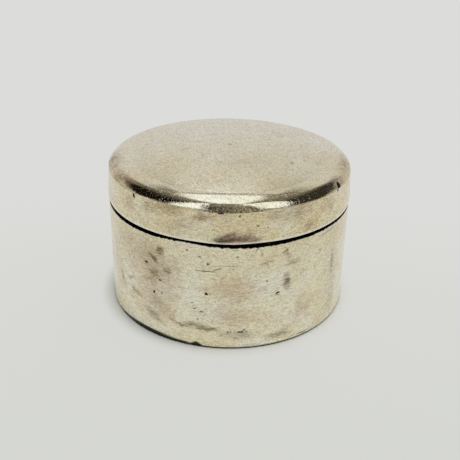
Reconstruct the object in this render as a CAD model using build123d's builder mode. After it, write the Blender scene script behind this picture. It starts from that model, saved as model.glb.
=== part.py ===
from build123d import *
from math import degrees
import os

# A pyx: a plain round silver box with a pull-off lid, soldered up from flat sheet and rolled strip.
# Sizes are in millimetres. The origin is the centre of the underside, +Z is up along the box's axis
# and the front is -Y. Each strip is rolled into a ring and closed by a soldered butt seam at the back.

# Driving dimensions of the box
body_diameter = 51.8  # outside of the wall
body_height = 23.05  # underside to the wall's rim
body_sheet = 0.9  # thickness of the wall and the base plate
base_edge_round = 0.35  # lower edge of the base plate
rim_round = 0.15  # outer edge of the wall's rim

# Driving dimensions of the collar, which stands up out of the box and takes the lid
collar_sheet = 0.6
collar_overlap = 5.0  # depth that is soldered inside the wall
collar_lead_in = 0.3  # rounded outer edge of the collar's rim

# Driving dimensions of the lid
band_sheet = 0.6
crown_ledge = 0.25  # how far the thicker crown stands in past the band
lid_gap = 0.9  # open line between the wall's rim and the lid's mouth
band_height = 6.45  # mouth up to the crown's seam
band_flare = 0.35  # how much further out the mouth stands than the seam
mouth_round = 0.2  # both edges of the mouth
crown_edge_width = 1.85  # seam inwards to where the pressed edge meets the dome
crown_edge_height = 1.45  # seam up to where the pressed edge meets the dome
dome_rise = 0.55  # dome's middle above its border

# Driving dimensions of the fits and the soldered joints
slip_clearance = 0.05  # radial, between the collar and the top of the band
seat_clearance = 0.2  # collar's rim below the solder under the crown, which stops the lid
strip_seam_width = 0.12  # solder line where a strip's two ends meet
seam_groove = 0.1  # chamfer along a soldered seam outside
base_fillet = 0.5  # leg of the solder in the corner of wall and base
collar_fillet = 0.4  # leg of the solder under the collar's foot

# Places of the butt seams, in degrees from +X towards +Y
wall_seam_angle = 90.0
collar_seam_angle = 125.0
band_seam_angle = 78.0

# Radii and thicknesses that follow
wall_outer = body_diameter / 2
wall_inner = wall_outer - body_sheet
collar_outer = wall_inner
collar_inner = collar_outer - collar_sheet
crown_seam_inner = collar_outer + slip_clearance
crown_seam_outer = crown_seam_inner + band_sheet
mouth_inner = crown_seam_inner + band_flare
mouth_outer = crown_seam_outer + band_flare
dome_radius = crown_seam_outer - crown_edge_width
crown_sheet = band_sheet + crown_ledge

# Heights that follow
base_top = body_sheet
rim_height = body_height
collar_foot = rim_height - collar_overlap
mouth_height = rim_height + lid_gap
crown_seam_height = mouth_height + band_height
dome_border_height = crown_seam_height + crown_edge_height
apex_height = dome_border_height + dome_rise
collar_top = crown_seam_height - crown_ledge - seat_clearance


def wall_section():
    """Draw the wall strip's section in the open sketch."""
    with Locations((wall_inner, base_top)):
        Rectangle(body_sheet, rim_height - base_top, align=(Align.MIN, Align.MIN))
    fillet(outer_corner(-1), rim_round)
    chamfer(outer_corner(0), seam_groove)


def collar_section():
    """Draw the collar strip's section in the open sketch."""
    with Locations((collar_inner, collar_foot)):
        Rectangle(collar_sheet, collar_top - collar_foot, align=(Align.MIN, Align.MIN))
    fillet(outer_corner(-1), collar_lead_in)


def band_section():
    """Draw the lid band's section in the open sketch: it flares towards the mouth."""
    Polygon(
        (mouth_inner, mouth_height),
        (mouth_outer, mouth_height),
        (crown_seam_outer, crown_seam_height),
        (crown_seam_inner, crown_seam_height),
        align=None,
    )
    fillet(vertices().group_by(Axis.Y)[0], mouth_round)
    chamfer(outer_corner(-1), seam_groove)


def outer_corner(level):
    """Give the outermost corner at the foot (0) or the top (-1) of the open sketch."""
    return vertices().group_by(Axis.Y)[level].sort_by(Axis.X)[-1]


def solder_fillet(corner_radius, corner_height, leg, rise, toe_flare=0.0):
    """Draw solder in a ring's inner corner, up the ring's side (rise 1) or down it (rise -1)."""
    Polygon(
        (corner_radius, corner_height),
        (corner_radius - leg, corner_height),
        (corner_radius + toe_flare, corner_height + rise * leg),
        align=None,
    )


def radial_plane(angle):
    """Give the upright half plane at this angle, with X outwards and Y up the box's axis."""
    return Plane.XZ.rotated((0, 0, angle))


def seam_arc(radius):
    """Give the angle that a strip's solder line takes up at this radius."""
    return degrees(strip_seam_width / radius)


# Base plate: a flat disc under the wall
with BuildPart() as base_plate:
    with BuildSketch():
        Circle(wall_outer)
    extrude(amount=body_sheet)
    fillet(edges().group_by(Axis.Z)[0], base_edge_round)
    chamfer(edges().group_by(Axis.Z)[-1], seam_groove)

# Wall: a strip rolled into a ring that stands on the base plate
wall_seam_arc = seam_arc(wall_outer)
with BuildPart() as body_wall:
    with BuildSketch(radial_plane(wall_seam_angle + wall_seam_arc / 2)):
        wall_section()
    revolve(axis=Axis.Z, revolution_arc=360 - wall_seam_arc)

with BuildPart() as wall_seam:
    with BuildSketch(radial_plane(wall_seam_angle - wall_seam_arc / 2)):
        wall_section()
    revolve(axis=Axis.Z, revolution_arc=wall_seam_arc)

with BuildPart() as base_solder:
    with BuildSketch(Plane.XZ):
        solder_fillet(wall_inner, base_top, base_fillet, 1)
    revolve(axis=Axis.Z)

# Collar: a thinner strip soldered inside the wall, with its rim standing up to guide the lid
collar_seam_arc = seam_arc(collar_outer)
with BuildPart() as collar:
    with BuildSketch(radial_plane(collar_seam_angle + collar_seam_arc / 2)):
        collar_section()
    revolve(axis=Axis.Z, revolution_arc=360 - collar_seam_arc)

with BuildPart() as collar_seam:
    with BuildSketch(radial_plane(collar_seam_angle - collar_seam_arc / 2)):
        collar_section()
    revolve(axis=Axis.Z, revolution_arc=collar_seam_arc)

with BuildPart() as collar_solder:
    with BuildSketch(Plane.XZ):
        solder_fillet(wall_inner, collar_foot, collar_fillet, -1)
    revolve(axis=Axis.Z)

# Lid band: a strip rolled into a flaring ring that slips over the collar
band_seam_arc = seam_arc(mouth_outer)
with BuildPart() as lid_band:
    with BuildSketch(radial_plane(band_seam_angle + band_seam_arc / 2)):
        band_section()
    revolve(axis=Axis.Z, revolution_arc=360 - band_seam_arc)

with BuildPart() as band_seam:
    with BuildSketch(radial_plane(band_seam_angle - band_seam_arc / 2)):
        band_section()
    revolve(axis=Axis.Z, revolution_arc=band_seam_arc)

# Lid crown: a disc pressed to a low dome with a rounded edge, shelled to the sheet's thickness
dome_middle = (0, apex_height)
dome_border = (dome_radius, dome_border_height)
crown_foot = (crown_seam_outer, crown_seam_height)
with BuildPart() as lid_crown:
    with BuildSketch(Plane.XZ):
        with BuildLine():
            dome = TangentArc(dome_middle, dome_border, tangent=(1, 0))
            TangentArc(dome_border, crown_foot, tangent=dome % 1)
            Polyline(crown_foot, (0, crown_seam_height), dome_middle)
        make_face()
    revolve(axis=Axis.Z)
    offset(amount=-crown_sheet, openings=faces().sort_by(Axis.Z)[0])

with BuildPart() as lid_solder:
    with BuildSketch(Plane.XZ):
        toe_flare = band_flare * crown_ledge / band_height
        solder_fillet(crown_seam_inner, crown_seam_height, crown_ledge, -1, toe_flare)
    revolve(axis=Axis.Z)

# One STEP file for each piece
pieces = {
    "base_plate": base_plate,
    "body_wall": body_wall,
    "wall_seam": wall_seam,
    "base_solder": base_solder,
    "collar": collar,
    "collar_seam": collar_seam,
    "collar_solder": collar_solder,
    "lid_band": lid_band,
    "band_seam": band_seam,
    "lid_crown": lid_crown,
    "lid_solder": lid_solder,
}
os.makedirs("parts", exist_ok=True)
for name, piece in pieces.items():
    piece.part.label = name
    export_step(piece.part, f"parts/{name}.step")
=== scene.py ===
"""Looks of a pyx: a plain round silver box with a pull-off lid, on a pale floor in soft studio light.

Lengths named here are in millimetres, and a finished mesh is scaled to the frame's metres.
The origin is the middle of the underside, +Z is up and the front is -Y.
Places on a round wall are given as degrees from the front, counted to the right, and a height.
"""

from math import atan2, ceil, cos, degrees, hypot, pi, radians, sin

import bmesh
import bpy
import numpy as np
from mathutils import Matrix, Vector, noise


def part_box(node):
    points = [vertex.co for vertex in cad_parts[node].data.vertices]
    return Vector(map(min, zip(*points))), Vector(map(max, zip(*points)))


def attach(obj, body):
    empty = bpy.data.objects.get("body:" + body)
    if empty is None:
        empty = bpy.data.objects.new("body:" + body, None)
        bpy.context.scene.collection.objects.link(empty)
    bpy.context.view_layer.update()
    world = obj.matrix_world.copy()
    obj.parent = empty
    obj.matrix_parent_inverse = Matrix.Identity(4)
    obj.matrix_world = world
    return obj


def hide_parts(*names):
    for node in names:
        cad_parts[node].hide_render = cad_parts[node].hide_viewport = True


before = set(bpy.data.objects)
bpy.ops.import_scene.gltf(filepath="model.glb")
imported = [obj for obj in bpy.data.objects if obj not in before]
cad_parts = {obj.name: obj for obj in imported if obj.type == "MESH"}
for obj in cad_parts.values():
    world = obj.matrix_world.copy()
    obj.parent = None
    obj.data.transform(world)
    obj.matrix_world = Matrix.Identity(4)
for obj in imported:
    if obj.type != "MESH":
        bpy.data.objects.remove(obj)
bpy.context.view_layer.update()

mm = 0.001


def outer_radius(node):
    """Give the outer radius of a CAD node."""
    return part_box(node)[1].x / mm


def foot_and_top(node):
    """Give the lowest and highest height of a CAD node."""
    low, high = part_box(node)
    return low.z / mm, high.z / mm


# Sizes read from the frame
wall_outer = outer_radius("body_wall")
wall_inner = outer_radius("collar")
seam_outer = outer_radius("lid_crown")
base_foot, base_top = foot_and_top("base_plate")
rim_height = foot_and_top("body_wall")[1]
collar_foot, collar_top = foot_and_top("collar")
mouth_height, seam_height = foot_and_top("lid_band")
apex_height = foot_and_top("lid_crown")[1]

# Sizes of the sheets, folds and edges
collar_sheet = 0.6
band_sheet = 0.6
crown_sheet = 0.85
band_flare = 0.35
rim_round = 0.15
mouth_round = 0.2
collar_lead_in = 0.3
base_edge_round = 0.35
seam_groove = 0.1
strip_seam_width = 0.12

# Shape of the crown: a low dome that bends a little more near its border, then the pressed edge
crown_edge_width = 1.85
crown_edge_height = 1.45
shoulder_width = 2.7
shoulder_tilt = radians(0.55)

# Places of the strips' soldered seams, in degrees from +X towards +Y
wall_seam_angle = 90.0
collar_seam_angle = 125.0
band_seam_angle = 78.0

# Sizes that follow
collar_inner = wall_inner - collar_sheet
seam_inner = seam_outer - band_sheet
mouth_outer = seam_outer + band_flare
mouth_inner = seam_inner + band_flare
border_radius = seam_outer - crown_edge_width
border_height = seam_height + crown_edge_height

# Fineness of the meshes
sectors = 16
sector_steps = 48
fine_row = 0.26
coarse_row = 2.5
merge_distance = 1e-4
outer_margin = 0.05  # how near to the outside still counts as an outer face

# Uneven places round the box: amount, middle and half width in degrees from the front
foot_bends = ((0.35, -36, 36), (0.28, -13.4, 2.2))
# Painted shade along the foot, standing in for the contact shadow under it: its least height and where it
# rises
foot_shade_least = 0.4
foot_shade_rises = ((0.9, -38, 34), (0.75, -13.4, 3.2))
base_seam_gaps = ((1.0, 27, 24),)
seam_sags = ((0.28, -37, 15), (0.08, 41, 12), (-0.2, -1, 26))
mouth_sags = ((0.16, 0, 16),)
rim_burrs = ((0.3, -19, 17), (-0.12, 12.5, 1.2))
rim_long_burrs = ((0.2, -22, 30), (0.27, 52, 36))
rim_teeth = ((0.28, 0, 120),)
edge_knocks = ((0.03, 0, 16),)
flat_topped = 0.5  # power that makes a hump broad at its top


# Section drawing and spinning

def draw_section(bm, corners):
    """Draw a closed section on the half plane of +X from its corners, as radius and height."""
    return bm.faces.new([bm.verts.new((radius, 0, height)) for radius, height in corners])


def round_corner(bm, corner, size, segments=5):
    """Round the section's corner that is nearest to this place."""
    place = Vector((corner[0], 0, corner[1]))
    nearest = min(bm.verts, key=lambda vert: (vert.co - place).length)
    bmesh.ops.bevel(bm, geom=[nearest], offset=size, offset_type="OFFSET", segments=segments,
                    profile=0.5, affect="VERTICES", material=-1)


def divide_rows(bm, is_fine):
    """Divide the section's long edges into rows, fine ones where is_fine(radius, height) says so."""
    for edge in bm.edges[:]:
        middle = (edge.verts[0].co + edge.verts[1].co) / 2
        row = fine_row if is_fine(middle.x, middle.z) else coarse_row
        cuts = ceil(edge.calc_length() / row) - 1
        if cuts > 0:
            bmesh.ops.subdivide_edges(bm, edges=[edge], cuts=cuts)


def spin_section(bm, turn):
    """Spin the section's outline through this turn, as one sector that is repeated and merged."""
    bmesh.ops.delete(bm, geom=bm.faces[:], context="FACES_ONLY")
    bmesh.ops.spin(bm, geom=bm.verts[:] + bm.edges[:], axis=(0, 0, 1), cent=(0, 0, 0),
                   angle=turn / sectors, steps=sector_steps)
    bmesh.ops.spin(bm, geom=bm.verts[:] + bm.edges[:] + bm.faces[:], axis=(0, 0, 1), cent=(0, 0, 0),
                   angle=turn * (sectors - 1) / sectors, steps=sectors - 1, use_duplicate=True)
    bmesh.ops.remove_doubles(bm, verts=bm.verts[:], dist=merge_distance)


def spin_strip(bm, seam_angle):
    """Spin the section into a ring that is open at its soldered seam, and close its two ends."""
    gap = strip_seam_width / max(vert.co.x for vert in bm.verts)
    spin_section(bm, 2 * pi - gap)
    bmesh.ops.holes_fill(bm, edges=[edge for edge in bm.edges if edge.is_boundary], sides=0)
    start = Matrix.Rotation(radians(seam_angle) + gap / 2, 3, "Z")
    bmesh.ops.rotate(bm, verts=bm.verts[:], cent=(0, 0, 0), matrix=start)
    bmesh.ops.recalc_face_normals(bm, faces=bm.faces[:])


def spin_disc(bm):
    """Spin the section into a closed disc and merge its poles."""
    axis_edges = [edge for edge in bm.edges if all(vert.co.x < merge_distance for vert in edge.verts)]
    bmesh.ops.delete(bm, geom=axis_edges, context="EDGES")
    spin_section(bm, 2 * pi)
    bmesh.ops.recalc_face_normals(bm, faces=bm.faces[:])


# Wear in the shape

def from_front(co):
    """Give the angle of a place in degrees from the front, counted to the right."""
    return degrees(atan2(co.x, -co.y))


def hump(value, middle, half_width):
    """Give a smooth hump of height 1 that ends at half_width from its middle."""
    away = abs(value - middle) / half_width
    return 0.0 if away >= 1 else 0.5 + 0.5 * cos(pi * away)


def ripple(co, size, seed):
    """Give a smooth unevenness from -1 to 1 with swells of this size."""
    return noise.noise(co / size + Vector((seed, 2 * seed, 3 * seed)))


def push_out(vert, distance):
    """Move a vertex straight out from the box's axis."""
    radius = max(merge_distance, hypot(vert.co.x, vert.co.y))
    vert.co.x *= 1 + distance / radius
    vert.co.y *= 1 + distance / radius


def uneven(angle, places, power=1.0):
    """Add up the uneven places at this angle."""
    return sum(amount * hump(angle, middle, half_width) ** power for amount, middle, half_width in places)


def foot_lift(angle):
    """Give how far the wall's lower edge is bent up at this angle."""
    return uneven(angle, foot_bends)


def foot_shade_height(angle):
    """Give how far up the painted shade at the foot reaches at this angle."""
    return foot_shade_least + uneven(angle, foot_shade_rises)


def base_seam_open(angle):
    """Give how open the seam of wall and base is: it shows only at the right of the front."""
    return uneven(angle, base_seam_gaps, flat_topped)


def seam_sag(angle):
    """Give how far the hand-soldered seam of band and crown strays from level."""
    return uneven(angle, seam_sags)


def step(value, low, high):
    """Give a smooth rise from 0 at low to 1 at high, or a fall where low is the higher."""
    share = min(1.0, max(0.0, (value - low) / (high - low)))
    return share * share * (3 - 2 * share)


def cover(across, up, marks, softness):
    """Give each place the strength of the soft ellipse that covers it most."""
    strength = np.zeros(len(across))
    for mark_across, mark_up, half_width, half_height, tilt, deepest in marks:
        right, above = across - mark_across, up - mark_up
        turn = radians(tilt)
        along = (right * cos(turn) + above * sin(turn)) / half_width
        aside = (above * cos(turn) - right * sin(turn)) / half_height
        share = np.clip((1 + softness - np.hypot(along, aside)) / (2 * softness), 0, 1)
        strength = np.maximum(strength, deepest * share * share * (3 - 2 * share))
    return strength


def unroll(co):
    """Give a place on a round wall as arc length from the front, and height."""
    return radians(from_front(co)) * hypot(co.x, co.y), co.z


def look_down(co):
    """Give a place on the lid's top as right and back."""
    return co.x, co.y


def paint_marks(bm, flatten, layers):
    """Paint each layer of marks on the vertices.

    A layer is a name, the softness of its marks' edges, their raggedness and the marks.
    """
    tear_size = 0.77
    flat = np.array([flatten(vert.co) for vert in bm.verts])
    tear = np.array([(ripple(vert.co, tear_size, seed=11), ripple(vert.co, tear_size, seed=12))
                     for vert in bm.verts])
    for name, softness, raggedness, marks in layers:
        torn = flat + raggedness * tear
        layer = bm.verts.layers.float.new(name)
        for vert, strength in zip(bm.verts, cover(torn[:, 0], torn[:, 1], marks, softness)):
            vert[layer] = strength


def finish_piece(bm, name, body, materials, inside=None):
    """Make the object, with its second material on the faces where inside(centre, normal) is true."""
    sharp_angle = radians(35)
    bm.normal_update()
    for face in bm.faces:
        face.smooth = True
        if inside and inside(face.calc_center_median(), face.normal):
            face.material_index = 1
    bmesh.ops.scale(bm, vec=(mm, mm, mm), verts=bm.verts[:])
    mesh = bpy.data.meshes.new(name)
    bm.to_mesh(mesh)
    bm.free()
    mesh.set_sharp_from_angle(angle=sharp_angle)
    for material in materials:
        mesh.materials.append(material)
    piece = bpy.data.objects.new(name, mesh)
    bpy.context.scene.collection.objects.link(piece)
    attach(piece, body)
    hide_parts(name.removesuffix("_worn"))


def faces_axis(centre, normal):
    """Tell whether a face looks towards the box's axis and isn't on an outer edge."""
    lean_margin = 0.1
    least_inwards = 0.5
    radius = hypot(centre.x, centre.y)
    inwards = -(normal.x * centre.x + normal.y * centre.y) / max(merge_distance, radius)
    return radius < wall_inner + lean_margin and inwards > least_inwards


# Node helpers: a Mix node has its numbers at inputs 2 and 3, and its colours at inputs 6 and 7

def add_node(tree, kind, inputs=None, **settings):
    """Add a node, set its settings and fill or link its inputs."""
    made = tree.nodes.new(kind)
    for name, value in settings.items():
        setattr(made, name, value)
    for key, value in (inputs or {}).items():
        if isinstance(value, bpy.types.NodeSocket):
            tree.links.new(value, made.inputs[key])
        else:
            made.inputs[key].default_value = value
    return made


def combine(tree, operation, first, second=0.0):
    """Give the result of one sum on two numbers or sockets."""
    return add_node(tree, "ShaderNodeMath", {0: first, 1: second}, operation=operation).outputs[0]


def ease(tree, value, low, high, to_low=0.0, to_high=1.0):
    """Give the value eased from one range into another."""
    made = add_node(tree, "ShaderNodeMapRange", {"Value": value, "From Min": low, "From Max": high,
                    "To Min": to_low, "To Max": to_high}, interpolation_type="SMOOTHSTEP")
    return made.outputs["Result"]


def tint(tree, share, first, second):
    """Mix two colours, each a socket or three numbers."""
    made = add_node(tree, "ShaderNodeMix", {"Factor": share}, data_type="RGBA")
    for key, value in ((6, first), (7, second)):
        if isinstance(value, bpy.types.NodeSocket):
            tree.links.new(value, made.inputs[key])
        else:
            made.inputs[key].default_value = (*value, 1.0)
    return made.outputs[2]


def shaded(tree, colour, shade):
    """Multiply a colour by a grey value."""
    scaled = add_node(tree, "ShaderNodeVectorMath", {0: colour, "Scale": shade}, operation="SCALE")
    return scaled.outputs[0]


def cloud(tree, place, scale, detail, roughness=0.55, seed=0.0):
    """Give a noise value at this scale per millimetre."""
    made = add_node(tree, "ShaderNodeTexNoise", {"Vector": place, "W": seed, "Scale": scale, "Detail": detail,
                    "Roughness": roughness}, noise_dimensions="4D")
    return made.outputs["Fac"]


def blend(tree, share, first, second):
    """Mix two numbers, each a socket or a plain number."""
    return add_node(tree, "ShaderNodeMix", {0: share, 2: first, 3: second}).outputs[0]


# Materials

def new_material(name):
    """Make a material and give it with its tree, its shader and Object coordinates in millimetres."""
    material = bpy.data.materials.new(name)
    material.use_nodes = True
    tree = material.node_tree
    shader = tree.nodes["Principled BSDF"]
    place = add_node(tree, "ShaderNodeTexCoord").outputs["Object"]
    place = add_node(tree, "ShaderNodeMapping", {"Vector": place, "Scale": (1 / mm,) * 3}).outputs[0]
    return material, tree, shader, place


def side(tree, place, axis):
    """Give one coordinate of a place."""
    return add_node(tree, "ShaderNodeSeparateXYZ", {0: place}).outputs[axis]


def height_band(low, high, softness, strength):
    """Give a maker of a mask between two heights."""
    def mask(tree, place):
        up = side(tree, place, "Z")
        above = ease(tree, up, low - softness, low + softness)
        below = ease(tree, up, high - softness, high + softness, to_low=strength, to_high=0.0)
        return combine(tree, "MULTIPLY", above, below)
    return mask


def from_axis(low, high, strength):
    """Give a maker of a mask that grows with the distance from the box's axis."""
    def mask(tree, place):
        flat = add_node(tree, "ShaderNodeVectorMath", {0: place, 1: (1, 1, 0)}, operation="MULTIPLY")
        away = add_node(tree, "ShaderNodeVectorMath", {0: flat.outputs[0]}, operation="LENGTH")
        return ease(tree, away.outputs["Value"], low, high, to_high=strength)
    return mask


def ring(low, high, softness):
    """Give a maker of a mask between two distances from the box's axis."""
    inside = from_axis(low - softness, low + softness, 1.0)
    outside = from_axis(high - softness, high + softness, 1.0)
    return lambda tree, place: combine(tree, "SUBTRACT", inside(tree, place), outside(tree, place))


def crown_relief(tree, place):
    """Give the share of the crown's relief: hardly any on the polished shoulder, more on the pressed edge."""
    up = side(tree, place, "Z")
    shoulder = ring(low=20.5, high=23.4, softness=0.4)(tree, place)
    polished = ease(tree, shoulder, 0.0, 1.0, to_low=1.0, to_high=0.05)
    knocked = ease(tree, up, border_height - 0.5, border_height, to_low=0.8, to_high=0.0)
    worn = ease(tree, up, seam_height + 0.6, seam_height + 1.0, to_low=1.6, to_high=0.0)
    return combine(tree, "ADD", polished, combine(tree, "ADD", knocked, worn))


def pitted_front(tree, place):
    """Give a mask of fine pits along the front of the crown's lower edge."""
    pits = mottling(tree, place, edge_pits, strength=0.75)
    outermost = ease(tree, side(tree, place, "Y"), low=-24.3, high=-24.9)
    right_part = ease(tree, side(tree, place, "X"), low=-5.6, high=-4.4)
    low_part = ease(tree, side(tree, place, "Z"), seam_height + 0.95, seam_height + 0.75)
    front = combine(tree, "MULTIPLY", outermost, right_part)
    return combine(tree, "MULTIPLY", pits, combine(tree, "MULTIPLY", front, low_part))


def painted(layer):
    """Give a maker of a mask that is painted on the vertices."""
    return lambda tree, place: add_node(tree, "ShaderNodeAttribute", attribute_name=layer).outputs["Fac"]


def towards_back(low, high, strength):
    """Give a maker of a mask that grows from the front to the back."""
    return lambda tree, place: ease(tree, side(tree, place, "Y"), low, high, to_high=strength)


def mottling(tree, place, spread, strength=1.0):
    """Give an uneven mask from a noise and the range of it that shows."""
    *grain, low, high = spread
    return ease(tree, cloud(tree, place, *grain), low, high, to_high=strength)


# Unevenness of the finish: a noise's scale per millimetre, detail, roughness and seed, and the range
# of it that shows
tarnish_patches = (0.14, 5.0, 0.55, 0.0, 0.36, 0.62)
brown_blotches = (0.5, 6.0, 0.68, 1.0, 0.52, 0.75)
grey_bloom = (0.2, 4.0, 0.6, 2.0, 0.52, 0.68)
red_flush = (0.24, 4.0, 0.6, 5.0, 0.54, 0.7)
brown_specks = (3.4, 1.5, 0.6, 4.0, 0.61, 0.7)
brown_dashes = (1.1, 2.0, 0.6, 7.0, 0.58, 0.67)
matte_grains = (3.6, 1.0, 0.5, 9.0, 0.53, 0.67)
edge_pits = (3.4, 2.0, 0.6, 8.0, 0.42, 0.58)

# Grain of the metal: a noise's scale per millimetre, detail, roughness and seed
fine_grain = (5.2, 1.0, 0.5, 3.0)
strip_streaks = (1.1, 2.0, 0.6, 6.0)
strip_stretch = (1.0, 1.0, 5.0)  # streaks run along the rolled strip
shine_span = (0.35, 0.65)  # range of the fine grain over which the shine changes
shade_span = (0.38, 0.62)  # range of grain and streaks over which the shade changes
mottle_span = (0.4, 0.6)  # range of the streaks over which a mark thins out
mottle_share = (1.4, 0.7)

# Finish of worn places
burnished_roughness = 0.03
burnished_evenness = 0.35
mark_roughness = 0.45
scratch_half_width = 0.09
scratch_core = 0.5
scratch_end = 1.3

# Colours of the metals: clean, tarnished and brown
wall_tones = ((0.93, 0.87, 0.71), (0.9, 0.81, 0.58), (0.52, 0.4, 0.25))
crown_tones = ((0.89, 0.83, 0.66), (0.83, 0.74, 0.51), (0.48, 0.36, 0.21))
band_tones = ((0.9, 0.83, 0.64), (0.83, 0.71, 0.46), (0.47, 0.34, 0.2))
gilt_tones = ((0.88, 0.68, 0.33), (0.8, 0.57, 0.24), (0.5, 0.33, 0.14))
solder_tones = ((0.76, 0.7, 0.56), (0.68, 0.6, 0.44), (0.42, 0.34, 0.22))
soot = (0.03, 0.025, 0.02)
plum = (0.24, 0.14, 0.11)
smoke = (0.33, 0.27, 0.2)
rubbed_silver = (0.96, 0.93, 0.83)
cool_silver = (0.86, 0.81, 0.71)
straw = (0.8, 0.68, 0.43)
lilac_grey = (0.72, 0.66, 0.56)
speck_brown = (0.38, 0.28, 0.16)
blush = (0.6, 0.44, 0.3)
stain_brown = (0.34, 0.25, 0.15)
umber = (0.44, 0.31, 0.18)


def scratches(tree, place, lines):
    """Give a mask of fine straight scratches: each has a middle, a rotation, half sizes and a strength."""
    mask = 0.0
    for middle, rotation, half_sizes, strength in lines:
        near = add_node(tree, "ShaderNodeMapping", {"Vector": place, "Location": middle, "Rotation": rotation,
                        "Scale": half_sizes}, vector_type="TEXTURE").outputs[0]
        away = add_node(tree, "ShaderNodeVectorMath", {0: near}, operation="LENGTH").outputs["Value"]
        line = ease(tree, away, scratch_core, scratch_end, to_low=strength, to_high=0.0)
        mask = combine(tree, "MAXIMUM", mask, line)
    return mask


def worn_metal(name, tones, shine, grain=(0.8, 1.22), grain_depth=0.003, patchy=1.0, streaky=0.4,
               layers=(), lines=(), veils=(), rub=None, rub_share=0.2, relief_share=None, matte=0.0):
    """Old metal: a soft shine under patchy tarnish, with grain, painted marks and fine scratches.

    tones are the clean, tarnished and brown colours, shine the range of roughness and grain the range from
    dark to light. layers are the names, colours and mottling of the painted marks, lines are scratches, and
    veils are colours with the makers of their masks. rub makes the mask of what handling has burnished,
    relief_share gives the share of the grain's depth, and matte is the roughness of small dull grains.
    """
    clean, tarnished, brown = tones
    material, tree, shader, place = new_material(name)
    along_strip = add_node(tree, "ShaderNodeMapping", {"Vector": place, "Scale": strip_stretch}).outputs[0]
    fine = cloud(tree, place, *fine_grain)
    streaks = cloud(tree, along_strip, *strip_streaks)
    colour = tint(tree, mottling(tree, place, tarnish_patches), clean, tarnished)
    colour = tint(tree, mottling(tree, place, brown_blotches, strength=0.5), colour, brown)
    colour = tint(tree, mottling(tree, place, grey_bloom, strength=0.4 * patchy), colour, lilac_grey)
    colour = tint(tree, mottling(tree, place, red_flush, strength=0.4 * patchy), colour, blush)
    for paint, mask in veils:
        colour = tint(tree, mask(tree, place), colour, paint)
    roughness = ease(tree, fine, *shine_span, *shine)
    shade = ease(tree, blend(tree, streaky, fine, streaks), *shade_span, *grain)
    relief = fine
    kept = 1.0
    if rub:
        rubbed = rub(tree, place)
        bare = combine(tree, "MULTIPLY", rubbed, rub_share)
        kept = combine(tree, "SUBTRACT", 1.0, bare)
        colour = tint(tree, bare, colour, rubbed_silver)
        roughness = blend(tree, rubbed, roughness, burnished_roughness)
        shade = blend(tree, combine(tree, "MULTIPLY", rubbed, burnished_evenness), shade, 1.0)
    if matte:
        roughness = combine(tree, "MAXIMUM", roughness, mottling(tree, place, matte_grains, strength=matte))
    if relief_share:
        relief = combine(tree, "MULTIPLY", fine, relief_share(tree, place))
    specks = mottling(tree, place, brown_specks, strength=0.6)
    dashes = mottling(tree, along_strip, brown_dashes, strength=0.55 * patchy)
    specks = combine(tree, "MULTIPLY", combine(tree, "MAXIMUM", specks, dashes), kept)
    colour = tint(tree, specks, shaded(tree, colour, shade), speck_brown)
    mottle = ease(tree, streaks, *mottle_span, *mottle_share)
    for layer, paint, mottled in layers:
        mask = combine(tree, "MULTIPLY", painted(layer)(tree, place), kept)
        if mottled:
            mask = combine(tree, "MULTIPLY", mask, blend(tree, mottled, 1.0, mottle))
        colour = tint(tree, mask, colour, paint)
        roughness = combine(tree, "MAXIMUM", roughness, combine(tree, "MULTIPLY", mask, mark_roughness))
    if lines:
        colour = tint(tree, scratches(tree, place, lines), colour, soot)
    tree.links.new(colour, shader.inputs["Base Color"])
    shader.inputs["Metallic"].default_value = 1.0
    tree.links.new(roughness, shader.inputs["Roughness"])
    bump = add_node(tree, "ShaderNodeBump", {"Strength": 1.0, "Distance": grain_depth * mm, "Height": relief})
    tree.links.new(bump.outputs[0], shader.inputs["Normal"])
    return material


def on_round(radius, marks):
    """Turn marks given by angle and height into arc length and height."""
    return [(radians(angle) * radius, *rest) for angle, *rest in marks]


def round_lines(radius, lines):
    """Turn scratches given by angle, height, half length, tilt and strength into places on a round wall."""
    placed = []
    for angle, height, half_length, tilt, strength in lines:
        turn = radians(angle)
        middle = (radius * sin(turn), -radius * cos(turn), height)
        placed.append((middle, (0, -radians(tilt), turn), (half_length, 1.0, scratch_half_width), strength))
    return placed


def top_lines(lines):
    """Turn scratches given by right, back, half length, turn and strength into places on the lid's top."""
    half_depth = 2.0
    placed = []
    for right, back, half_length, turn, strength in lines:
        half_sizes = (half_length, scratch_half_width, half_depth)
        placed.append(((right, back, apex_height), (0, 0, radians(turn)), half_sizes, strength))
    return placed


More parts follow.
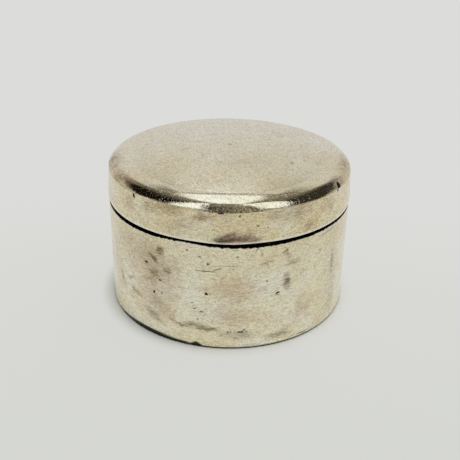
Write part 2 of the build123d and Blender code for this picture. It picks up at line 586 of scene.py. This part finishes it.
# Marks on the wall: angle, height, half width, half height, tilt and strength
wall_stains = on_round(wall_outer, [
    (-34, 18.1, 5.5, 3.4, -30, 0.35), (-30.6, 20.2, 0.85, 1.0, 0, 1), (-34.5, 18.4, 1.5, 0.55, -25, 1),
    (-33, 17.6, 1.0, 0.4, -15, 0.9), (-34.2, 14.8, 1.3, 1.2, 0, 0.7), (-27.2, 16.3, 1.2, 0.8, 0, 0.75),
    (-29, 17.2, 1.0, 0.5, -30, 0.6), (-36.5, 13.2, 1.4, 0.6, 20, 0.55), (-58, 9.6, 0.9, 2.4, 25, 0.5),
    (-46.7, 8.3, 1.9, 0.5, -15, 0.6), (-50, 11, 1.2, 0.4, 30, 0.5), (-23.2, 4.9, 1.6, 0.26, -25, 0.8),
    (-18, 4.6, 2.0, 0.3, 5, 0.75), (-14.7, 5.1, 2.2, 0.6, 0, 0.7), (-9.5, 4.5, 2.4, 0.36, -6, 0.85),
    (-6.3, 4.7, 1.3, 0.3, 12, 0.7), (26, 20.8, 0.4, 0.9, 20, 0.45), (27, 19.6, 0.4, 0.8, -20, 0.4),
    (29.6, 18.4, 1.4, 0.5, 10, 0.5), (31.8, 18.7, 0.9, 0.4, 30, 0.4), (56.2, 14.1, 0.7, 3.2, 0, 0.5),
    (3.3, 13.2, 3.6, 2.6, 0, 0.15), (-0.8, 8.2, 4.6, 2.2, 0, 0.12), (-52, 18.6, 4, 4, 0, 0.25),
    (-62, 12.6, 2.5, 5, 0, 0.22), (35, 9, 1.0, 1.6, -30, 0.2), (17, 19.5, 1.2, 0.4, 10, 0.45),
    (95, 15, 3.5, 2.2, 10, 0.3), (118, 8, 2.4, 1.0, -15, 0.45), (140, 17.5, 1.6, 0.6, 20, 0.6),
    (162, 6.5, 4, 1.6, 0, 0.25), (-85, 6.2, 2.2, 0.5, 10, 0.5), (-105, 16, 3, 2, -20, 0.3),
    (-132, 10, 1.4, 0.5, 25, 0.6), (-150, 19, 2.2, 0.7, -5, 0.45), (-170, 12.5, 4.5, 3, 0, 0.22)])
wall_smears = on_round(wall_outer, [
    (-35, 4.8, 2.1, 1.1, -25, 0.6), (-33, 8.5, 1.6, 1.4, 0, 0.4), (-32, 11.1, 4.5, 5.5, 0, 0.12),
    (26.6, 14.4, 0.7, 1.5, 4, 1), (24.3, 2.3, 2.4, 0.7, 0, 0.65), (27, 3.4, 1.3, 0.6, 15, 0.35),
    (4.6, 3.4, 3.4, 0.8, 0, 0.5), (58, 6.6, 1.5, 4, 0, 0.3), (56, 13, 2.5, 8, 0, 0.14),
    (-38.4, 16.6, 0.6, 0.35, -20, 0.9), (-12, 4.8, 3.2, 0.7, -4, 0.35),
    (108, 19, 0.8, 1.8, 5, 0.6), (150, 11, 2.6, 0.8, -12, 0.5), (-118, 4.5, 2.6, 0.7, 8, 0.5),
    (-95, 12, 3.2, 5, 0, 0.15), (175, 4, 3, 0.8, 0, 0.4)])
wall_pits = on_round(wall_outer, [
    (-9.0, 12.7, 0.29, 0.23, -20, 1.8), (-8.2, 19.4, 0.18, 0.18, 0, 1.8), (-11.7, 20.8, 0.34, 0.14, -20, 0.9),
    (-17.5, 21.8, 0.24, 0.19, 30, 0.9), (-34.5, 10.4, 0.23, 0.27, 0, 1.8), (-30.3, 10.8, 0.18, 0.18, 0, 0.9),
    (-30.9, 13.6, 0.23, 0.18, 0, 1.6), (-38.4, 16.7, 0.31, 0.18, -20, 1.8),
    (-15.4, 10.3, 0.23, 0.16, -30, 0.9), (-14.4, 9, 0.41, 0.14, -20, 0.9),
    (-11, 8.4, 0.41, 0.14, -5, 0.9), (-12.9, 6.6, 0.2, 0.18, 0, 0.9),
    (22.5, 12.3, 0.5, 0.18, 18, 1.8), (23, 11.9, 0.27, 0.14, 10, 0.55), (17.1, 15.4, 0.2, 0.16, 30, 0.9),
    (14.5, 21.4, 0.22, 0.16, -40, 0.9), (4, 21, 0.18, 0.16, 0, 0.9), (25.7, 21.5, 0.31, 0.14, 35, 0.9),
    (0.4, 4.0, 0.2, 0.14, 60, 1.6), (1.6, 4.2, 0.2, 0.14, -20, 0.9), (5.6, 4.1, 0.31, 0.14, 30, 1.6),
    (6.8, 4.0, 0.23, 0.14, -30, 1.6), (7.6, 4.5, 0.23, 0.14, 30, 0.9), (8.6, 4.1, 0.17, 0.14, 0, 0.9),
    (24.5, 21.2, 0.34, 0.14, 20, 0.9), (-19.5, 21.2, 0.2, 0.14, 20, 0.55), (2.5, 18.4, 0.18, 0.14, 0, 0.55),
    (-6, 6.4, 0.18, 0.14, 0, 0.55), (12, 16.8, 0.18, 0.14, 0, 0.55), (-22.5, 15.2, 0.16, 0.14, 0, 0.55),
    (84, 11, 0.27, 0.18, 0, 0.9), (101, 5.4, 0.32, 0.18, 30, 1.6), (126, 20.4, 0.27, 0.18, -20, 0.9),
    (134, 13.6, 0.25, 0.2, 0, 1.6), (158, 20, 0.27, 0.16, 10, 0.9), (-78, 19.2, 0.27, 0.18, 0, 0.9),
    (-99, 8.3, 0.36, 0.18, -20, 1.6), (-124, 17.6, 0.27, 0.2, 0, 1.6), (-141, 5.2, 0.32, 0.16, 15, 0.9),
    (-160, 15.4, 0.25, 0.18, 0, 0.9), (-74, 14, 0.45, 0.15, 12, 0.9)])
wall_lines = round_lines(wall_outer, [
    (-12.4, 17.75, 1.1, -8, 0.7), (-8.4, 17.75, 1.7, 0, 1.0), (-4.5, 18.3, 1.0, 22, 0.9),
    (0.5, 19.1, 2.6, 2, 0.4), (50.6, 22.4, 3.7, 5, 0.7), (12.3, 22.5, 0.7, 60, 0.9),
    (16, 17.4, 1.8, 12, 0.3), (-20, 13.2, 1.5, 6, 0.3),
    (110, 14.2, 2.4, 4, 0.5), (-140, 14.6, 2.0, -7, 0.5), (165, 17.2, 1.6, 12, 0.4)])
wall_blush = on_round(wall_outer, [
    (-36, 11.1, 5.5, 6.5, 10, 0.32), (-44, 17.1, 3, 3, 0, 0.3), (8, 7.1, 4, 2, 0, 0.34),
    (2, 14, 4, 2.4, 0, 0.36)])
wall_layers = [("blush", 0.7, 1.5, wall_blush), ("stain", 0.7, 0.4, wall_stains),
               ("smear", 0.8, 0.3, wall_smears), ("pit", 0.28, 0.08, wall_pits)]
# Soot on the rim's top is dirt and painted shade under the lid's mouth.
wall_silver = worn_metal(
    "wall_silver", wall_tones, (0.16, 0.28), lines=wall_lines,
    veils=[(straw, height_band(low=17.5, high=rim_height, softness=2.0, strength=0.35))],
    layers=[("blush", blush, 1.0), ("stain", stain_brown, 1.0), ("smear", smoke, 1.0), ("pit", soot, 0.0),
            ("rim", soot, 0.0)])

# Marks on the lid's band
band_stains = on_round(mouth_outer, [
    (-26, 29.6, 2.6, 1.1, 10, 0.5), (-35, 29, 2, 1, 20, 0.45), (-9.7, 29.2, 2.6, 0.6, 10, 0.6),
    (31, 29.1, 3, 1.5, 0, 0.4), (37.3, 25.8, 1.4, 0.8, 0, 0.5), (20, 29.2, 1.6, 1, 0, 0.5),
    (-19, 26.9, 2.2, 1.2, 0, 0.3), (-48, 27.6, 2.4, 1.6, 0, 0.3), (48, 28.6, 2, 1.4, 0, 0.3),
    (80, 28, 2.6, 1.2, 0, 0.35), (115, 26.2, 2, 0.7, 10, 0.5), (150, 29, 3, 1, 0, 0.35),
    (-78, 26.5, 2.4, 0.8, -10, 0.4), (-112, 28.8, 2, 0.8, 0, 0.45), (-150, 26.4, 3, 1.1, 5, 0.35)])
band_plum = on_round(mouth_outer, [(5.6, 24.2, 3.5, 1.6, 0, 0.85), (1.0, 24.3, 2.4, 1.7, 0, 0.85)])
band_smoke = on_round(mouth_outer, [(-2.4, 24.3, 1.5, 1.1, 0, 0.8), (1.5, 25.2, 2.6, 0.6, 10, 0.3)])
band_pits = on_round(mouth_outer, [
    (4.6, 29.7, 0.25, 0.2, 0, 0.9), (12.2, 27.5, 0.25, 0.2, 0, 0.9), (56, 30.2, 0.23, 0.32, 0, 1.8),
    (-45, 29.8, 0.24, 0.45, 25, 2), (9.6, 30.1, 0.25, 0.16, 0, 0.55), (16.5, 26.9, 0.18, 0.18, 0, 0.55),
    (-3.2, 30.3, 0.54, 0.13, 0, 1.6), (98, 27.2, 0.25, 0.18, 0, 0.9),
    (140, 25.6, 0.27, 0.18, 0, 0.9), (-92, 29.3, 0.27, 0.18, 0, 0.9), (-130, 27, 0.25, 0.18, 0, 0.9)])
band_layers = [("stain", 0.8, 0.7, band_stains), ("plum", 0.5, 0.5, band_plum),
               ("smoke", 0.6, 0.5, band_smoke), ("pit", 0.4, 0.05, band_pits)]
# Soot on the mouth's lowest edge is dirt and painted shade in the gap under the lid.
band_silver = worn_metal(
    "band_silver", band_tones, (0.16, 0.28), (0.74, 1.24),
    layers=[("stain", stain_brown, 1.0), ("plum", plum, 0.6), ("smoke", soot, 0.6), ("pit", soot, 0.0),
            ("mouth_dirt_and_shade", soot, 0.0)],
    rub=painted("rub"), rub_share=0.95)

# Marks on the crown, seen from above
crown_stains = [
    (-24.2, -4.5, 1.4, 5, 10, 0.65), (-22.6, -12, 1.5, 3.4, 35, 0.65), (-20, -15.5, 1.4, 2.6, 50, 0.4),
    (24.2, -4.5, 1.4, 5, -10, 0.55), (22.4, -12, 1.5, 3.2, -35, 0.55), (4, -6, 5, 4, 20, 0.15)]
crown_pits = [(0, 4.6, 0.35, 0.35, 0, 0.7), (12.9, -5.3, 0.35, 0.35, 0, 0.7), (21.6, -13.4, 0.4, 0.5, 0, 2)]
crown_lines = top_lines([(10.4, 12.4, 2.5, -62, 0.45), (11.4, 12.9, 2.1, -62, 0.4)])
crown_layers = [("stain", 0.9, 0.6, crown_stains), ("pit", 0.5, 0.05, crown_pits)]
crown_silver = worn_metal(
    "crown_silver", crown_tones, (0.1, 0.17), (0.76, 1.18), grain_depth=0.005, patchy=0.4, streaky=0.12,
    lines=crown_lines, layers=[("stain", umber, 1.0), ("pit", soot, 0.0)],
    veils=[(straw, towards_back(low=8, high=-18, strength=0.4)),
           (cool_silver, towards_back(low=-10, high=16, strength=0.6)), (soot, pitted_front)],
    rub=from_axis(low=20.0, high=21.0, strength=1.0), rub_share=0.04, relief_share=crown_relief, matte=0.36)

# The other metals
# Soot painted low on the base plate's edge is painted shade, standing in for the contact shadow at the foot.
base_silver = worn_metal("base_silver", wall_tones, (0.22, 0.36), layers=[("foot_shade", soot, 0.0)])
gilt = worn_metal("gilt_inside", gilt_tones, (0.2, 0.32))
# Soot on the collar between rim and lid: dirt, and painted shade in the gap under the lid.
gap_dirt_and_shade = height_band(low=rim_height - 1, high=mouth_height + 0.25, softness=0.12, strength=0.99)
collar_gilt = worn_metal("collar_gilt", gilt_tones, (0.18, 0.3), veils=[(soot, gap_dirt_and_shade)])
solder = worn_metal("silver_solder", solder_tones, (0.28, 0.42))


# Box

def close_seam(vert, angle):
    """Fill the groove along the seam of wall and base where solder fills it."""
    reach = 0.5
    short = wall_outer - hypot(vert.co.x, vert.co.y)
    if 0 < short < seam_groove + merge_distance and abs(vert.co.z - base_top) < reach:
        push_out(vert, short * (1 - base_seam_open(angle)))


def make_base_plate():
    """Make the base plate: a flat disc with a bent edge, gilt inside, with painted shade at the foot that
    stands in for the contact shadow.
    """
    foot_shade_full = 0.8
    foot_shade_end = 1.15
    least_level = 0.9
    bm = bmesh.new()
    draw_section(bm, [(0, base_foot), (wall_outer, base_foot), (wall_outer, base_top), (0, base_top)])
    round_corner(bm, (wall_outer, base_foot), base_edge_round)
    round_corner(bm, (wall_outer, base_top), seam_groove, 1)
    divide_rows(bm, lambda radius, height: radius > wall_inner)
    spin_disc(bm)
    # Painted shade at the foot: soot up to a height that rises at the left, standing in for the contact
    # shadow.
    foot_shade = bm.verts.layers.float.new("foot_shade")
    for vert in bm.verts:
        angle = from_front(vert.co)
        if hypot(vert.co.x, vert.co.y) > wall_inner:
            vert.co.z += foot_lift(angle) * step(vert.co.z, base_edge_round, base_top)
            shade_top = foot_shade_height(angle)
            vert[foot_shade] = 1 - step(vert.co.z, foot_shade_full * shade_top, foot_shade_end * shade_top)
            close_seam(vert, angle)
    finish_piece(bm, "base_plate_worn", "box", [base_silver, gilt],
                 lambda centre, normal: normal.z > least_level and hypot(centre.x, centre.y) < wall_inner)


def make_body_wall():
    """Make the wall: a rolled strip with shallow dents, a bent foot and a ragged rim."""
    dent_depth = 0.03
    dent_size = 8
    ripple_depth = 0.008
    ripple_size = 2.2
    dent_fade = 2
    bend_reach = 3.5
    rim_dirt_and_shade_start = 0.13
    rim_dirt_and_shade_full = 0.03
    tooth_size = 0.5
    tooth_least = 0.12
    burr_least = 0.03
    burr_reach = 0.6
    bm = bmesh.new()
    draw_section(bm, [(wall_inner, base_top), (wall_outer, base_top),
                      (wall_outer, rim_height), (wall_inner, rim_height)])
    round_corner(bm, (wall_outer, base_top), seam_groove, 1)
    round_corner(bm, (wall_outer, rim_height), rim_round)
    divide_rows(bm, lambda radius, height: radius > wall_outer - outer_margin)
    spin_strip(bm, wall_seam_angle)
    paint_marks(bm, unroll, wall_layers)
    # The rim layer paints soot on the rim's top: dirt, and painted shade under the lid's mouth.
    rim = bm.verts.layers.float.new("rim")
    for vert in bm.verts:
        angle = from_front(vert.co)
        height = vert.co.z
        vert[rim] = step(height, rim_height - rim_dirt_and_shade_start, rim_height - rim_dirt_and_shade_full)
        close_seam(vert, angle)
        dents = dent_depth * (ripple(vert.co, dent_size, seed=1) - 1)
        dents += ripple_depth * ripple(vert.co, ripple_size, seed=2)
        push_out(vert, dents * step(height, base_top, base_top + dent_fade))
        vert.co.z += foot_lift(angle) * max(0.0, 1 - (height - base_top) / bend_reach)
        ragged = 0.5 + 0.5 * ripple(vert.co, tooth_size, seed=3)
        teeth = (tooth_least + uneven(angle, rim_teeth, flat_topped)) * ragged ** 2
        burr = burr_least + uneven(angle, rim_burrs) + uneven(angle, rim_long_burrs, flat_topped)
        vert.co.z += step(height, rim_height - burr_reach, rim_height) * (burr - teeth)
    finish_piece(bm, "body_wall_worn", "box", [wall_silver, gilt], faces_axis)


def make_collar():
    """Make the collar: a thin rolled strip with a rounded rim that guides the lid."""
    bm = bmesh.new()
    draw_section(bm, [(collar_inner, collar_foot), (wall_inner, collar_foot),
                      (wall_inner, collar_top), (collar_inner, collar_top)])
    round_corner(bm, (wall_inner, collar_top), collar_lead_in)
    round_corner(bm, (collar_inner, collar_top), collar_lead_in / 2)
    divide_rows(bm, lambda radius, height: False)
    spin_strip(bm, collar_seam_angle)
    finish_piece(bm, "collar_worn", "box", [collar_gilt, gilt], faces_axis)


# Lid

def make_lid_band():
    """Make the lid's band: a flaring strip with a bright rubbed mouth that sags a little at the front."""
    dent_depth = 0.015
    dent_size = 7
    dent_inset = 0.022
    rub_start, rub_full, rub_fade, rub_end = 0.03, 0.1, 0.22, 0.5
    mouth_dirt_and_shade_full, mouth_dirt_and_shade_end = 0.01, 0.05
    mouth_sag_reach = 1.5
    seam_sag_reach = 2.5
    bm = bmesh.new()
    draw_section(bm, [(mouth_inner, mouth_height), (mouth_outer, mouth_height),
                      (seam_outer, seam_height), (seam_inner, seam_height)])
    round_corner(bm, (mouth_outer, mouth_height), mouth_round / 2)
    round_corner(bm, (mouth_inner, mouth_height), mouth_round)
    round_corner(bm, (seam_outer, seam_height), seam_groove, 1)
    divide_rows(bm, lambda radius, height: radius > seam_outer - outer_margin)
    spin_strip(bm, band_seam_angle)
    paint_marks(bm, unroll, band_layers)
    rub = bm.verts.layers.float.new("rub")
    # Soot at the very bottom of the mouth: dirt, and painted shade in the gap under the lid.
    mouth_dirt_and_shade = bm.verts.layers.float.new("mouth_dirt_and_shade")
    for vert in bm.verts:
        angle = from_front(vert.co)
        rise = vert.co.z - mouth_height
        vert[rub] = step(rise, rub_start, rub_full) * step(rise, rub_end, rub_fade)
        vert[mouth_dirt_and_shade] = 1 - step(rise, mouth_dirt_and_shade_full, mouth_dirt_and_shade_end)
        vert.co.z -= uneven(angle, mouth_sags) * (1 - step(rise, 0.0, mouth_sag_reach))
        push_out(vert, dent_depth * ripple(vert.co, dent_size, seed=5) - dent_inset)
        vert.co.z += seam_sag(angle) * step(vert.co.z, seam_height - seam_sag_reach, seam_height)
    finish_piece(bm, "lid_band_worn", "lid", [band_silver, gilt], faces_axis)


def crown_edge_corners(border_tilt):
    """Give the corners of the crown's pressed edge, an arc that starts at the dome's tilt at its border."""
    edge_steps = 18
    seam_tilt = 2 * atan2(crown_edge_height, crown_edge_width) - border_tilt
    edge_radius = crown_edge_width / (sin(seam_tilt) - sin(border_tilt))
    corners = []
    for edge_step in range(edge_steps + 1):
        tilt = border_tilt + (seam_tilt - border_tilt) * edge_step / edge_steps
        corners.append((border_radius + edge_radius * (sin(tilt) - sin(border_tilt)),
                        border_height - edge_radius * (cos(border_tilt) - cos(tilt))))
    return corners


def make_lid_crown():
    """Make the crown: a sheet pressed to a low dome with a rounded edge, knocked a little at the front."""
    inner_round = 0.5
    ledge_lean = 0.1
    least_down = 0.5
    seam_sag_reach = 1.3
    knock_least = 0.015
    knock_bias = 1.3
    knock_size = 1.3
    chatter_size = 0.55
    chatter_share = 0.45
    edge_middle = seam_height + 0.75
    edge_half_height = 0.75
    bend = shoulder_tilt / shoulder_width ** 2
    sweep = apex_height - border_height - bend * shoulder_width ** 3 / 3
    edge = crown_edge_corners(shoulder_tilt + 2 * sweep / border_radius)
    ledge_radius = seam_outer - crown_sheet
    inner_corner = (ledge_radius - ledge_lean, border_height - crown_sheet)
    bm = bmesh.new()
    draw_section(bm, [(0, border_height)] + edge + [(ledge_radius, seam_height), inner_corner,
                                                    (0, border_height - crown_sheet)])
    round_corner(bm, inner_corner, inner_round, 6)
    divide_rows(bm, lambda radius, height: height > border_height - merge_distance)
    for vert in bm.verts:
        if vert.co.x <= border_radius:
            into_shoulder = max(0.0, vert.co.x - border_radius + shoulder_width)
            vert.co.z += bend * (shoulder_width ** 3 - into_shoulder ** 3) / 3
            vert.co.z += sweep * (1 - (vert.co.x / border_radius) ** 2)
    spin_disc(bm)
    paint_marks(bm, look_down, crown_layers)
    for vert in bm.verts:
        angle = from_front(vert.co)
        height = vert.co.z
        vert.co.z += seam_sag(angle) * step(height, seam_height + seam_sag_reach, seam_height)
        knock = knock_least + uneven(angle, edge_knocks)
        dents = knock_bias + ripple(vert.co, knock_size, seed=7)
        dents += chatter_share * ripple(vert.co, chatter_size, seed=8)
        push_out(vert, -knock * dents * hump(height, edge_middle, edge_half_height))
    finish_piece(bm, "lid_crown_worn", "lid", [crown_silver, gilt],
                 lambda centre, normal: normal.z < -least_down or faces_axis(centre, normal))


make_base_plate()
make_body_wall()
make_collar()
make_lid_band()
make_lid_crown()
for solder_node in ("wall_seam", "base_solder", "collar_seam", "collar_solder", "band_seam", "lid_solder"):
    for material_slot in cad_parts[solder_node].material_slots:
        material_slot.material = solder


# Studio: pale floor, the room that the metal reflects, a soft lamp and the camera
floor_half_side = 3.0
floor_roughness = 0.9
floor_sheen = 0.1
shadow_reach = 3.5
floor_grey = (0.67, 0.68, 0.65)
# Glow of the floor at the front and at the back: painted light, lighter towards the back
near_floor_glow = (0.655, 0.665, 0.63)
far_floor_glow = (0.715, 0.715, 0.7)
window_light = (1.1, 1.21, 1.38)
sheet_grey = (0.7, 0.7, 0.7)
ceiling_brown = (0.3, 0.27, 0.22)
near_wall_grey = (0.6, 0.6, 0.58)
corner_brown = (0.38, 0.34, 0.29)
warm_shade = (1.0, 0.93, 0.78)
beam_shade = (1.0, 0.96, 0.86)
white = (1.0, 1.0, 1.0)
lamp_place = (0.5, -0.1, 0.8)
lamp_aim = (0, 0, 0)
lamp_size = 0.7
lamp_power = 1.7
camera_place = (0.0, -0.145697, 0.087851)
camera_look = (0.002177, 0.891224, -0.453559)
camera_roll = radians(1.151)
camera_lens = 57.01
camera_sensor = 36.0


def make_floor():
    """Make the pale floor: it takes the box's shadow near the foot, and further out it glows for camera and
    glossy rays, painted lighter towards the back.
    """
    bm = bmesh.new()
    bmesh.ops.create_grid(bm, x_segments=1, y_segments=1, size=floor_half_side)
    mesh = bpy.data.meshes.new("floor")
    bm.to_mesh(mesh)
    bm.free()
    material, tree, shader, place = new_material("pale_floor")
    shader.inputs["Base Color"].default_value = (*floor_grey, 1.0)
    shader.inputs["Roughness"].default_value = floor_roughness
    shader.inputs["Specular IOR Level"].default_value = floor_sheen
    rays = add_node(tree, "ShaderNodeLightPath").outputs
    seen = combine(tree, "MAXIMUM", rays["Is Camera Ray"], rays["Is Glossy Ray"])
    far = from_axis(low=wall_outer, high=wall_outer + shadow_reach, strength=0.9)(tree, place)
    # The glow is painted light: lighter towards the back.
    further_back = towards_back(low=-80, high=60, strength=1.0)(tree, place)
    glow_colour = tint(tree, further_back, near_floor_glow, far_floor_glow)
    glow = add_node(tree, "ShaderNodeEmission", {"Color": glow_colour, "Strength": 1.0})
    mixed = add_node(tree, "ShaderNodeMixShader", {0: combine(tree, "MULTIPLY", seen, far),
                     1: shader.outputs[0], 2: glow.outputs[0]})
    tree.links.new(mixed.outputs[0], tree.nodes["Material Output"].inputs["Surface"])
    mesh.materials.append(material)
    floor = bpy.data.objects.new("floor", mesh)
    bpy.context.scene.collection.objects.link(floor)


def paint_room():
    """Paint the room round the object by direction: a pale sheet behind, three windows and dark corners.

    across and along are places on the ceiling, to the right and to the back, over the height above.
    """
    world = bpy.data.worlds.new("studio_room")
    bpy.context.scene.world = world
    world.use_nodes = True
    world.cycles.sampling_method = "NONE"
    tree = world.node_tree
    direction = add_node(tree, "ShaderNodeTexCoord").outputs["Generated"]
    right, back, up = add_node(tree, "ShaderNodeSeparateXYZ", {0: direction}).outputs
    least = 0.02
    safe_up = combine(tree, "MAXIMUM", up, least)
    across = combine(tree, "DIVIDE", right, safe_up)
    along = combine(tree, "DIVIDE", back, safe_up)
    aside = combine(tree, "ABSOLUTE", across)
    sheet_across = combine(tree, "DIVIDE", right, combine(tree, "MAXIMUM", back, least))

    def above(value, limit, softness):
        """Give a mask that rises over a limit."""
        return ease(tree, value, limit - softness, limit + softness)

    def below(value, limit, softness):
        """Give a mask that falls over a limit."""
        return ease(tree, value, limit - softness, limit + softness, to_low=1.0, to_high=0.0)

    def leaning(slope):
        """Give a sum of both ceiling directions, whose limit is a leaning line on the ceiling."""
        return combine(tree, "ADD", along, combine(tree, "MULTIPLY", across, slope))

    def overlap(*masks):
        """Give what all masks share."""
        shared = masks[0]
        for mask in masks[1:]:
            shared = combine(tree, "MULTIPLY", shared, mask)
        return shared

    # The sheet behind, with a straight lower hem in the middle and rounded corners
    hem = ease(tree, aside, 0.17, 0.24, to_low=1.832, to_high=1.92)
    hem_blur = ease(tree, aside, 0.17, 0.26, to_low=0.006, to_high=0.09)
    sheet_middle = ease(tree, along, combine(tree, "SUBTRACT", hem, hem_blur),
                        combine(tree, "ADD", hem, hem_blur))
    corner_reach = combine(tree, "MULTIPLY", combine(tree, "SUBTRACT", along, 0.9), aside)
    sheet_whole = combine(tree, "MAXIMUM", sheet_middle, above(corner_reach, 0.42, 0.26))
    sheet = overlap(sheet_whole, below(sheet_across, 1.9, 0.3))

    # The middle window, the left and right ones that lean away from it, and the beam between them
    sill = ease(tree, across, -0.2, -0.08, to_low=0.45, to_high=0.06)
    over_sill = above(combine(tree, "SUBTRACT", along, sill), 0.0, 0.04)
    middle_window = overlap(above(across, -0.17, 0.03), below(across, 0.12, 0.03), over_sill,
                            below(along, 1.808, 0.006))
    left_frame = leaning(-3.5)
    left_window = overlap(above(left_frame, 0.48, 0.06), below(leaning(-0.8), 0.1, 0.05),
                          above(along, -1.9, 0.12))
    right_frame = leaning(1.6)
    right_window = overlap(above(right_frame, -0.08, 0.1), below(leaning(0.9), 0.5, 0.05),
                           below(leaning(-2.4), -0.36, 0.08), above(along, -1.6, 0.12))
    beam = overlap(below(left_frame, 0.48, 0.06), below(right_frame, -0.08, 0.12), below(along, 0.07, 0.05))
    beam_level = ease(tree, across, -0.35, 0.5, to_low=0.16, to_high=0.39)

    # Patches of the room, each painted over the ones before it
    patches = [
        (below(along, -1.7, 0.25), ceiling_brown),
        (below(along, -2.7, 0.4), near_wall_grey),
        (overlap(above(along, 0.95, 0.25), below(across, -0.5, 0.15)), ceiling_brown),
        (overlap(above(along, 1.68, 0.16), above(across, 0.52, 0.1)), corner_brown),
        (sheet, sheet_grey),
        (middle_window, window_light),
        (left_window, window_light),
        (right_window, window_light),
        (beam, shaded(tree, beam_shade, beam_level)),
    ]
    deep_level = ease(tree, across, -0.3, 0.3, to_low=0.008, to_high=0.038)
    dark_level = ease(tree, aside, 0.1, 0.7, to_low=0.24, to_high=deep_level)
    colour = shaded(tree, warm_shade, dark_level)
    for mask, paint in patches:
        colour = tint(tree, mask, colour, paint)

    # An even light for the floor, and the sheet's grey as the background
    right_light = ease(tree, right, -0.7, 0.5, to_low=0.85, to_high=1.15)
    upper_light = ease(tree, up, 0.0, 0.4, to_low=0.2, to_high=1.0)
    floor_light = combine(tree, "MULTIPLY", right_light, upper_light)
    rays = add_node(tree, "ShaderNodeLightPath").outputs
    lights_floor = combine(tree, "GREATER_THAN", rays["Diffuse Depth"], 0.5)
    colour = tint(tree, lights_floor, colour, shaded(tree, white, floor_light))
    colour = tint(tree, rays["Is Camera Ray"], colour, sheet_grey)
    tree.links.new(colour, tree.nodes["Background"].inputs["Color"])


def add_lamp(name, place, aim, size, power):
    """Add a square soft lamp that lights the floor and stays out of the reflections."""
    lamp = bpy.data.lights.new(name, "AREA")
    lamp.size = size
    lamp.energy = power
    thing = bpy.data.objects.new(name, lamp)
    thing.location = place
    thing.rotation_mode = "QUATERNION"
    thing.rotation_quaternion = (Vector(aim) - Vector(place)).to_track_quat("-Z", "Y")
    thing.visible_glossy = False
    bpy.context.scene.collection.objects.link(thing)


def add_camera():
    """Add the camera, with its place, direction, roll and lens fitted to the outlines of lid and box."""
    data = bpy.data.cameras.new("camera")
    data.sensor_width = camera_sensor
    data.lens = camera_lens
    data.clip_start = 0.01
    data.clip_end = 20.0
    camera = bpy.data.objects.new("camera", data)
    camera.location = camera_place
    camera.rotation_mode = "QUATERNION"
    look = Vector(camera_look).to_track_quat("-Z", "Y")
    roll = Matrix.Rotation(camera_roll, 3, "Z").to_quaternion()
    camera.rotation_quaternion = look @ roll
    bpy.context.scene.collection.objects.link(camera)
    bpy.context.scene.camera = camera


make_floor()
paint_room()
add_lamp("soft_lamp", lamp_place, lamp_aim, lamp_size, lamp_power)
add_camera()
bpy.context.scene.view_settings.view_transform = "Standard"
